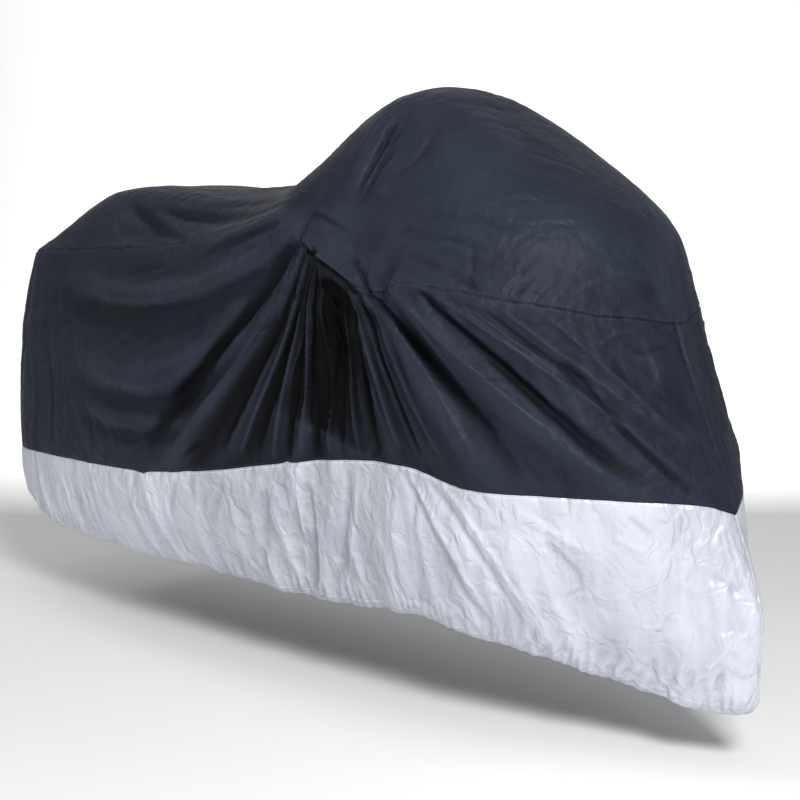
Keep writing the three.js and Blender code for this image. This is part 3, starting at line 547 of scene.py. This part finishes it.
# Those that run out from the gather, on the black panels alone. A row has its depth in millimetres, the
# lumps in a radian round the gather, their length outwards, where in the pattern it starts, and its seed.
near_gather = fading(out, 70, 260)
black_share = np.where(on_skirt, 0.0, 1.0)
radial = np.zeros(len(places))
for depth, in_a_radian, long, start, seed in ((2.6, 15, 420, 60, 3), (1.2, 34, 230, 120, 4)):
    radial += depth * near_gather * two_flanks(creased, turn * in_a_radian + start, out / long, seed)
strength = 0.45 + 0.55 * spread_over(uneven, long=260, tall=220, start=20, seed=5)
lift += black_share * radial * np.clip(strength, 0.1, 1)

# The crumples, in patches. They are few where the hood is stretched, and more on the skirt.
STRETCHED_FROM = 150
WHERE_STRETCHED = 0.6
ON_THE_SKIRT = 1.9
crumple = 1.2 * spread_over(creased, long=62, tall=56, start=40, seed=6)
crumple += 0.6 * spread_over(creased, long=27, tall=24, start=80, seed=7)
smoother = np.where(on_top & (along > STRETCHED_FROM), WHERE_STRETCHED, 1.0)
patches = 0.35 + 0.9 * spread_over(uneven, long=190, tall=170, start=50, seed=8)
patches = smoother * np.clip(patches, 0.12, 1)
lift += crumple * patches * np.where(on_skirt, ON_THE_SKIRT, 1.0)

# The creases that it was packed in, straight along and up the black panels.
PACKED_DEPTH = 1.1
PACKED_HALF = 6
PACKED_START = 70
for ruler, apart in ((along, 352), (up, 268)):
    from_crease = np.abs((ruler + PACKED_START) % apart - apart / 2)
    lift -= black_share * PACKED_DEPTH * np.exp(-from_crease / PACKED_HALF)

# The skirt hangs in soft upright folds, sharp along some edges. They start a little under its seam. A row
# has their depth, how far apart they are, the height in which they lean by one, how tall they are, where
# in the pattern they start, their seed and how much of them is there.
SKIRT_TOP = 640
hanging = np.zeros(len(places))
for depth, apart, lean, tall, start, seed, share in (
    (5.0, 85, 700, 380, 60, 11, 1.0),
    (2.4, 38, -400, 210, 60, 12, 1.0),
    (1.2, 21, 150, 70, 90, 13, patches),
):
    across = along / apart + height / lean + start
    hanging += depth * two_flanks(creased, across, height / tall + 10, seed) * share
lift += np.where(on_skirt, hanging * fading(SKIRT_TOP - height, -40, 120), 0)
places = places + facings * (lift * MM)[:, None]

# The seams. The panels are sewn right sides together and turned, so each seam is a narrow groove. The
# thread draws the cloth in, and short puckers cross it. The groove's depth and half width are in
# millimetres, and the other lengths are in metres.
SEAM_DEPTH = 2.4
SEAM_HALF = 4.0
SEAM_NEAR = 0.07
PUCKER_APART = 0.014
PUCKER_LONG = 0.05
PUCKER_SLANT = 9
PUCKER_FADES = 0.022
DRAWN_APART = 0.16
FAR_AWAY = 10.0


def chains(edges):
    """The edges put end to end, as lists of point numbers."""
    beside = {}
    for a, b in edges:
        beside.setdefault(a, []).append(b)
        beside.setdefault(b, []).append(a)
    unseen = set(beside)
    found = []
    while unseen:
        ends = sorted(v for v in unseen if len(beside[v]) == 1)
        here = ends[0] if ends else min(unseen)
        chain = [here]
        unseen.discard(here)
        while True:
            onward = [v for v in beside[here] if v in unseen]
            if not onward:
                break
            here = onward[0]
            unseen.discard(here)
            chain.append(here)
        found.append(chain)
    return found


def measured_from(mesh, places, edges, reach):
    """How far each point within reach lies from these edges, and how far along them, in metres."""
    off = np.full(len(places), FAR_AWAY)
    way = np.zeros(len(places))
    rows = []
    for chain in chains(edges):
        steps = np.linalg.norm(np.diff(places[chain], axis=0), axis=1)
        rows += zip(chain, np.concatenate([[0.0], np.cumsum(steps)]))
    tree = KDTree(len(rows))
    for number, (v, _) in enumerate(rows):
        tree.insert(places[v], number)
    tree.balance()
    edge_places = places[[v for v, _ in rows]]
    low, high = edge_places.min(axis=0) - reach, edge_places.max(axis=0) + reach
    for v in np.flatnonzero(((places > low) & (places < high)).all(axis=1)):
        _, number, distance = tree.find(places[v])
        if distance < reach:
            off[v] = distance
            way[v] = rows[number][1]
    return off, way


panel_of_edge = {}
for face in mesh.polygons:
    for edge in face.edge_keys:
        panel_of_edge.setdefault(edge, []).append(face.material_index)
between = {}
for edge, panels in panel_of_edge.items():
    if len(panels) == 1:
        between.setdefault("hem", []).append(edge)
    elif panels[0] != panels[1]:
        between.setdefault(tuple(sorted(panels)), []).append(edge)
top_edges = between[(0, 1)] + between[(0, 2)]
skirt_edges = between[(1, 3)] + between[(2, 4)]
middle_edges = between[(1, 2)] + between[(3, 4)]
hem_edges = between["hem"]

facings = facings_of(mesh)
seam_off = np.full(len(places), FAR_AWAY)
seam_way = np.zeros(len(places))
draw_in = np.zeros(len(places))
for edges, pucker, seed, above in (
    (top_edges, 2.4, 21, on_top),
    (skirt_edges, 1.6, 22, ~on_skirt),
    (middle_edges, 1.0, 23, right),
):
    off, way = measured_from(mesh, places, edges, SEAM_NEAR)
    near = off < SEAM_NEAR
    drawn = np.clip(0.5 + uneven_along(way, DRAWN_APART, seed + 10), 0.15, 1.4)
    puckers = pucker * drawn * creased(way / PUCKER_APART + off * PUCKER_SLANT, off / PUCKER_LONG, seed)
    puckers *= np.exp(-off / PUCKER_FADES)
    groove = SEAM_DEPTH * np.exp(-((off / MM / SEAM_HALF) ** 2))
    draw_in += np.where(near, puckers - groove, 0)
    closer = off < np.abs(seam_off)
    seam_way[closer] = way[closer]
    seam_off[closer] = np.where(above, off, -off)[closer]
places = places + facings * (draw_in * MM)[:, None]

# The hem, turned in over an elastic that draws it together all round. The cloth above it stands in short
# gathers that fade within a hand's breadth, and the edge curls inwards. How far the cloth moves is in
# millimetres, and the other sizes are in metres.
HEM_REACH = 0.14
HEM_GATHER = 9.0
GATHERS_APART = 0.031
GATHERS_FADE = 0.058
SMALL_GATHERS_APART = 0.019
BUNCHES_APART = 0.13
EDGE_HELD = 0.7
EDGE_HELD_TO = 0.012
HEM_CURL = 9.0
CURL_REACH = 0.035
HEM_SCALLOP = 3.5
SCALLOPS_APART = 0.045
SCALLOPS_FADE = 0.03
hem_off, hem_way = measured_from(mesh, places, hem_edges, HEM_REACH)
near_hem = hem_off < HEM_REACH
bunched = np.clip(1.0 + 0.7 * uneven_along(hem_way, BUNCHES_APART, 31), 0.65, 1.5)
even = hem_way / GATHERS_APART + 1.6 * uneven(hem_way / 0.09, hem_off / 0.2, 35)
gathers = 0.45 * HEM_GATHER * np.sin(2 * math.pi * even)
slanted = hem_way / SMALL_GATHERS_APART + 2.5 * hem_off / HEM_REACH
gathers += 0.5 * HEM_GATHER * creased(slanted, hem_off / 0.11, 32)
rise = np.exp(-((hem_off / GATHERS_FADE) ** 2))
rise *= 1 - EDGE_HELD * np.exp(-((hem_off / EDGE_HELD_TO) ** 2))
curl = HEM_CURL * np.clip(1 - hem_off / CURL_REACH, 0, 1) ** 2
places = places + facings * (np.where(near_hem, gathers * bunched * rise - curl, 0) * MM)[:, None]
scallop = HEM_SCALLOP * uneven_along(hem_way, SCALLOPS_APART, 34)
scallop *= np.exp(-((hem_off / SCALLOPS_FADE) ** 2))
places[:, 2] += np.where(near_hem, scallop * MM, 0)
mesh.vertices.foreach_set("co", places.ravel())
mesh.update()


# What the materials read off the cloth: how deep in a fold each point lies, in millimetres, which sets the
# painted shade in folds and the painted light on ridges, how far it is from the seams and the hem, and a
# flat map in metres that the weave follows. A soft fold alone gets little painted shade. The ones at the
# gather get more, and the painted shade of the fan under the flap is added on.
def hollowness(mesh, places, facings, rounds):
    """How far each point lies under the mean of those round it, in millimetres."""
    ends = np.empty(len(mesh.edges) * 2, np.int32)
    mesh.edges.foreach_get("vertices", ends)
    first, second = ends[0::2], ends[1::2]
    beside = np.bincount(ends, minlength=len(places))[:, None]
    mean = places.copy()
    for _ in range(rounds):
        sums = np.zeros_like(mean)
        for axis in range(3):
            sums[:, axis] += np.bincount(first, mean[second, axis], len(places))
            sums[:, axis] += np.bincount(second, mean[first, axis], len(places))
        mean = sums / beside
    return ((mean - places) * facings).sum(axis=1) / MM


ON_RIDGES = -14
IN_FOLDS = 22
SOFT_FOLDS_TO = 6
SMALL_ROUNDS = 12
WIDE_ROUNDS = 110
SMALL_SHARE = 2.0
GATHERED_SHARE = 0.62
FAN_SHADE_DEPTH = 12
facings = facings_of(mesh)
small_folds = hollowness(mesh, places, facings, SMALL_ROUNDS)
wide_folds = hollowness(mesh, places, facings, WIDE_ROUNDS)
away_from_hem = fading(hem_off, 0.01, 0.09)
hollow = np.clip((SMALL_SHARE * small_folds + wide_folds) * away_from_hem, ON_RIDGES, SOFT_FOLDS_TO)
# This depth darkens the colour in folds as painted shade and lightens it on ridges as painted light.
in_folds = hollow + GATHERED_SHARE * gathered + FAN_SHADE_DEPTH * painted_fan_shade
for name, values in (
    ("in_folds", in_folds),
    ("seam_off", seam_off),
    ("seam_way", seam_way),
    ("hem_off", hem_off),
    ("hem_way", hem_way),
):
    mesh.attributes.new(name, "FLOAT", "POINT").data.foreach_set("value", values.astype(np.float32))
corner_points = np.empty(len(mesh.loops), np.int32)
mesh.loops.foreach_get("vertex_index", corner_points)
flat_map = np.stack([along, up], axis=1)[corner_points] * MM
mesh.uv_layers.new(name="weave").uv.foreach_set("vector", flat_map.ravel().astype(np.float32))

# The turned-in hem: the open edge goes on round and up behind the cloth, 24 mm in all. At the nose and
# the tail it turns towards the middle of the cover. A turn is how far in and up it goes, in millimetres.
MIDDLE = -0.3
END_HALF = 0.12
TURNS_IN_AND_UP = ((3.0, -1.0), (2.0, 8.0), (0.5, 17.0))
turned = bmesh.new()
turned.from_mesh(mesh)
rim = [edge for edge in turned.edges if edge.is_boundary]
for inward, upward in TURNS_IN_AND_UP:
    made = bmesh.ops.extrude_edge_only(turned, edges=rim)["geom"]
    rim = [item for item in made if isinstance(item, bmesh.types.BMEdge) and item.is_boundary]
    for v in {v for edge in rim for v in edge.verts}:
        inside = Vector((0, -v.co.y, 0))
        if abs(v.co.y) < END_HALF:
            inside = Vector((MIDDLE - v.co.x, -v.co.y, 0))
        v.co += inside.normalized() * inward * MM + Vector((0, 0, upward * MM))
turned.to_mesh(mesh)
turned.free()


# The black panels, of polyester taffeta with a soft coating. A plain weave of fine yarns under a thin
# film: dark, a little blue, satin where it is stretched, with painted light on its ridges and painted shade
# in its folds.
STITCH_HALF = 0.0016
STITCH_APART = 0.008
STITCH_GAP = 0.0016
STITCH_FROM_SEAM = 0.006
STITCH_COVER = 0.55
STITCH_RELIEF = 0.0008
WEAVE_APART = 0.0024
WEAVE_RELIEF = 0.00012
DULLER_IN_FOLDS = 0.3
PATCHES_IN_A_METRE = 5.0
BENDS_IN_A_METRE = 9.0
BENT_BY = 0.1
GRAINS_IN_A_METRE = 60.0
# How many flat faces there are in a metre, and their share of the relief.
FACES_IN_A_METRE = ((14.0, 2.2), (38.0, 0.8))


def linear(code):
    """An sRGB colour such as "1a2b3c" as the linear values that a shader takes."""
    shares = [int(code[i:i + 2], 16) / 255 for i in (0, 2, 4)]
    return [s / 12.92 if s <= 0.04045 else ((s + 0.055) / 1.055) ** 2.4 for s in shares] + [1.0]


def add(tree, kind, settings=None, inputs=None):
    """Adds a node with its settings and links.

    An input is a value, a socket, or a node whose first output it takes.
    """
    node = tree.nodes.new(kind)
    for name, value in (settings or {}).items():
        setattr(node, name, value)
    for name, value in (inputs or {}).items():
        if isinstance(value, bpy.types.Node):
            value = value.outputs[0]
        if isinstance(value, bpy.types.NodeSocket):
            tree.links.new(value, node.inputs[name])
        else:
            node.inputs[name].default_value = value
    return node


def coated_cloth(name, dark, light, thread, painted_light_on_ridges, in_folds, polish, stretched, crumpling, rows):
    """A coated woven cloth's material and its surface node.

    Its film is rubbed smooth on ridges and dull in folds. Its colour is scaled up on ridges as painted
    light and down in folds as painted shade.
    """
    material = bpy.data.materials.new(name)
    material.use_nodes = True
    tree = material.node_tree
    surface = tree.nodes["Principled BSDF"]
    place = add(tree, "ShaderNodeTexCoord").outputs["Object"]
    patches = add(tree, "ShaderNodeTexNoise", inputs={
        "Vector": place, "Scale": PATCHES_IN_A_METRE, "Detail": 6.0})
    patchy = add(tree, "ShaderNodeMapRange", inputs={"Value": patches, "From Min": 0.3, "From Max": 0.7})
    tone = add(tree, "ShaderNodeMix", {"data_type": "RGBA"}, {0: patchy, 6: linear(dark), 7: linear(light)})
    deep = add(tree, "ShaderNodeAttribute", {"attribute_name": "in_folds"}).outputs["Fac"]
    by_depth = {"Value": deep, "From Min": ON_RIDGES, "From Max": IN_FOLDS}
    # shade scales the colour: painted light on ridges and painted shade in folds.
    shade = add(tree, "ShaderNodeMapRange", {"interpolation_type": "SMOOTHSTEP"}, {
        **by_depth, "To Min": painted_light_on_ridges, "To Max": in_folds})
    shaded = add(tree, "ShaderNodeVectorMath", {"operation": "SCALE"}, {0: tone.outputs[2], "Scale": shade})
    dull = add(tree, "ShaderNodeMapRange", inputs={
        **by_depth, "To Min": polish, "To Max": polish + DULLER_IN_FOLDS})
    tree.links.new(dull.outputs[0], surface.inputs["Roughness"])

    # The stitches are drawn 8 mm long and 3 mm wide so that they show. Real ones are 3 mm long.
    stitches = 0.0
    for off, way, beside in rows:
        away = add(tree, "ShaderNodeAttribute", {"attribute_name": off}).outputs["Fac"]
        run = add(tree, "ShaderNodeAttribute", {"attribute_name": way}).outputs["Fac"]
        in_row = add(tree, "ShaderNodeMath", {"operation": "COMPARE"}, {0: away, 1: beside, 2: STITCH_HALF})
        step = add(tree, "ShaderNodeMath", {"operation": "PINGPONG"}, {0: run, 1: STITCH_APART / 2})
        past_gap = add(tree, "ShaderNodeMath", {"operation": "GREATER_THAN"}, {0: step, 1: STITCH_GAP / 2})
        stitch = add(tree, "ShaderNodeMath", {"operation": "MULTIPLY"}, {0: in_row, 1: past_gap})
        stitches = add(tree, "ShaderNodeMath", {"operation": "MAXIMUM"}, {0: stitch, 1: stitches})
    covered = add(tree, "ShaderNodeMath", {"operation": "MULTIPLY"}, {0: stitches, 1: STITCH_COVER})
    sewn = add(tree, "ShaderNodeMix", {"data_type": "RGBA"}, {0: covered, 6: shaded, 7: linear(thread)})
    tree.links.new(sewn.outputs[2], surface.inputs["Base Color"])

    # The weave is drawn with yarns 2.4 mm apart. Real ones are about 0.25 mm apart, too fine to draw.
    flat = add(tree, "ShaderNodeUVMap", {"uv_map": "weave"})
    yarns = [
        add(tree, "ShaderNodeTexWave", {"bands_direction": direction}, {
            "Vector": flat, "Scale": math.pi / 10 / WEAVE_APART, "Distortion": 0.4}).outputs["Fac"]
        for direction in ("X", "Y")
    ]
    over = add(tree, "ShaderNodeMath", {"operation": "ADD"}, {0: yarns[0], 1: yarns[1]})
    weave = add(tree, "ShaderNodeBump", inputs={"Height": over, "Distance": WEAVE_RELIEF, "Strength": 0.5})

    # The film makes the cloth buckle into small flat faces with sharp edges. Some are about 70 mm across,
    # and some 25 mm.
    drawn_out = add(tree, "ShaderNodeVectorMath", {"operation": "MULTIPLY"}, {0: place, 1: stretched})
    warp = add(tree, "ShaderNodeTexNoise", inputs={
        "Vector": place, "Scale": BENDS_IN_A_METRE, "Detail": 2.0})
    bent = add(tree, "ShaderNodeVectorMath", {"operation": "MULTIPLY_ADD"}, {
        0: warp.outputs["Color"], 1: (BENT_BY, BENT_BY, BENT_BY), 2: drawn_out})
    relief = add(tree, "ShaderNodeTexNoise", inputs={
        "Vector": bent, "Scale": GRAINS_IN_A_METRE, "Detail": 3.0})
    for scale, share in FACES_IN_A_METRE:
        cells = add(tree, "ShaderNodeTexVoronoi", {"feature": "DISTANCE_TO_EDGE"}, {
            "Vector": bent, "Scale": scale})
        faces = add(tree, "ShaderNodeMapRange", {"interpolation_type": "SMOOTHSTEP"}, {
            "Value": cells, "From Max": 0.3, "To Max": share})
        relief = add(tree, "ShaderNodeMath", {"operation": "ADD"}, {0: relief, 1: faces})
    crumpled = add(tree, "ShaderNodeBump", inputs={
        "Height": relief, "Distance": crumpling, "Normal": weave})
    raised_thread = add(tree, "ShaderNodeBump", inputs={
        "Height": stitches, "Distance": STITCH_RELIEF, "Normal": crumpled})
    tree.links.new(raised_thread.outputs[0], surface.inputs["Normal"])
    return material, surface


def cut_out(node, material):
    """The panel that stands for this solid, cut from the sewn surface, and its area in square metres."""
    piece = bmesh.new()
    piece.from_mesh(mesh)
    others = [face for face in piece.faces if face.material_index != PANELS.index(node)]
    bmesh.ops.delete(piece, geom=others, context="FACES")
    for face in piece.faces:
        face.material_index = 0
        face.smooth = True
    area = sum(face.calc_area() for face in piece.faces)
    panel_mesh = bpy.data.meshes.new(node + "_cloth")
    piece.to_mesh(panel_mesh)
    piece.free()
    panel_mesh.materials.append(material)
    panel = bpy.data.objects.new(node + "_cloth", panel_mesh)
    bpy.context.scene.collection.objects.link(panel)
    return panel, area


SEAM_ROWS = (("seam_off", "seam_way", STITCH_FROM_SEAM), ("seam_off", "seam_way", -STITCH_FROM_SEAM))
# The colour is painted up to 1.6 times lighter on ridges, as painted light, and down to 0.05 in folds, as
# painted shade.
black, surface = coated_cloth(
    "black_coated_polyester", dark="191d27", light="20242f", thread="343844", painted_light_on_ridges=1.6,
    in_folds=0.05, polish=0.46, stretched=(1.0, 1.0, 1.0), crumpling=0.0007, rows=SEAM_ROWS)
surface.inputs["Specular IOR Level"].default_value = 0.1
for node, flat in (("top_panel", (1.3, 2.9)), ("side_right", (0.85, 3.0)), ("side_left", (0.85, 3.0))):
    panel, area = cut_out(node, black)
    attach(panel, "root")
    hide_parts(node)

# The silver skirts, of the same taffeta with an aluminium pigment in its coating: a pale blue grey satin
# that mirrors the light in broad soft patches, with painted shade darkening its folds and painted light on
# its ridges. One row of stitches holds the casing of the elastic.
CASING_STITCH = 0.022
# The colour is painted 1.08 times lighter on ridges, as painted light, and down to 0.66 in folds, as
# painted shade.
silver, surface = coated_cloth(
    "silver_coated_polyester", dark="bfc3ce", light="cfd3dd", thread="e6e8ee", painted_light_on_ridges=1.08,
    in_folds=0.66, polish=0.42, stretched=(1.0, 1.0, 0.55), crumpling=0.0014,
    rows=SEAM_ROWS[1:] + (("hem_off", "hem_way", CASING_STITCH),))
surface.inputs["Specular IOR Level"].default_value = 0.4
surface.inputs["Metallic"].default_value = 0.4
for node in ("skirt_right", "skirt_left"):
    panel, area = cut_out(node, silver)
    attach(panel, "root")
    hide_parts(node)
bpy.data.objects.remove(cloth)

# The studio: a floor of pale paper that sweeps up behind, and broad soft lights.
CAMERA_PLACE = Vector((2.4495, -2.8636, -0.3137))
CAMERA_AIM = Vector((-0.206, 0.0, -0.8404))
FLOOR = -1.616
FLOOR_FRONT = -12.0
FLOOR_HALF = 16.0
SWEEP_START = 5.0
SWEEP_RADIUS = 4.0
SWEEP_STEPS = 24
SWEEP_TOP = 14.0
back = (CAMERA_AIM - CAMERA_PLACE) * Vector((1, 1, 0))
back.normalize()
upright = Vector((0, 0, 1))
sideways = upright.cross(back)


def drawn_on(sheet, ends, way):
    """The sheet goes on from the edge between these ends, as far as way. Returns its new ends."""
    edge = sheet.edges.get(ends)
    made = bmesh.ops.extrude_edge_only(sheet, edges=[edge])["geom"]
    new_ends = [item for item in made if isinstance(item, bmesh.types.BMVert)]
    bmesh.ops.translate(sheet, verts=new_ends, vec=way)
    return new_ends


sheet = bmesh.new()
ends = [
    sheet.verts.new(back * FLOOR_FRONT + sideways * reach + upright * FLOOR)
    for reach in (-FLOOR_HALF, FLOOR_HALF)
]
sheet.edges.new(ends)
ends = drawn_on(sheet, ends, back * (SWEEP_START - FLOOR_FRONT))
swept = bmesh.ops.spin(
    sheet,
    geom=ends + [sheet.edges.get(ends)],
    cent=back * SWEEP_START + upright * (FLOOR + SWEEP_RADIUS),
    axis=sideways,
    angle=-math.pi / 2,
    steps=SWEEP_STEPS,
)["geom_last"]
ends = [item for item in swept if isinstance(item, bmesh.types.BMVert)]
drawn_on(sheet, ends, upright * (SWEEP_TOP - SWEEP_RADIUS))
floor_mesh = bpy.data.meshes.new("floor")
sheet.to_mesh(floor_mesh)
sheet.free()
floor_mesh.shade_smooth()
floor = bpy.data.objects.new("floor", floor_mesh)
bpy.context.scene.collection.objects.link(floor)
paper = bpy.data.materials.new("studio_paper")
paper.use_nodes = True
surface = paper.node_tree.nodes["Principled BSDF"]
surface.inputs["Base Color"].default_value = linear("f4f4f4")
surface.inputs["Roughness"].default_value = 0.9
floor_mesh.materials.append(paper)

world = bpy.data.worlds.new("studio")
world.use_nodes = True
surroundings = world.node_tree.nodes["Background"]
surroundings.inputs["Color"].default_value = linear("ffffff")
surroundings.inputs["Strength"].default_value = 0.24
bpy.context.scene.world = world
bpy.context.scene.view_settings.view_transform = "Standard"


def area_light(name, place, aim, size, power):
    """A soft light of this size in metres and this power in watts, turned to its aim."""
    data = bpy.data.lights.new(name, "AREA")
    data.size = size
    data.energy = power
    light = bpy.data.objects.new(name, data)
    light.location = place
    light.rotation_euler = (Vector(aim) - Vector(place)).to_track_quat("-Z", "Y").to_euler()
    bpy.context.scene.collection.objects.link(light)


area_light("key", place=(3.4, -2.4, 1.8), aim=(-0.2, 0.0, -0.7), size=1.3, power=245)
area_light("low", place=(-0.9, -4.2, -1.0), aim=(-0.2, -0.4, -1.4), size=1.2, power=26)
area_light("top", place=(-0.6, -0.8, 3.2), aim=(-0.2, 0.0, -0.7), size=1.2, power=12)
area_light("tail", place=(-3.6, -2.6, 1.4), aim=(-0.6, 0.0, -0.8), size=1.0, power=24)
behind = back * 2.8 + upright * 1.6
area_light("backdrop", place=behind, aim=back * 9.0 + upright * 0.4, size=3.0, power=380)

camera_data = bpy.data.cameras.new("camera")
camera_data.sensor_width = 36.0
camera_data.lens = 63.48
camera = bpy.data.objects.new("camera", camera_data)
camera.location = CAMERA_PLACE
camera.rotation_euler = (CAMERA_AIM - CAMERA_PLACE).to_track_quat("-Z", "Y").to_euler()
bpy.context.scene.collection.objects.link(camera)
bpy.context.scene.camera = camera
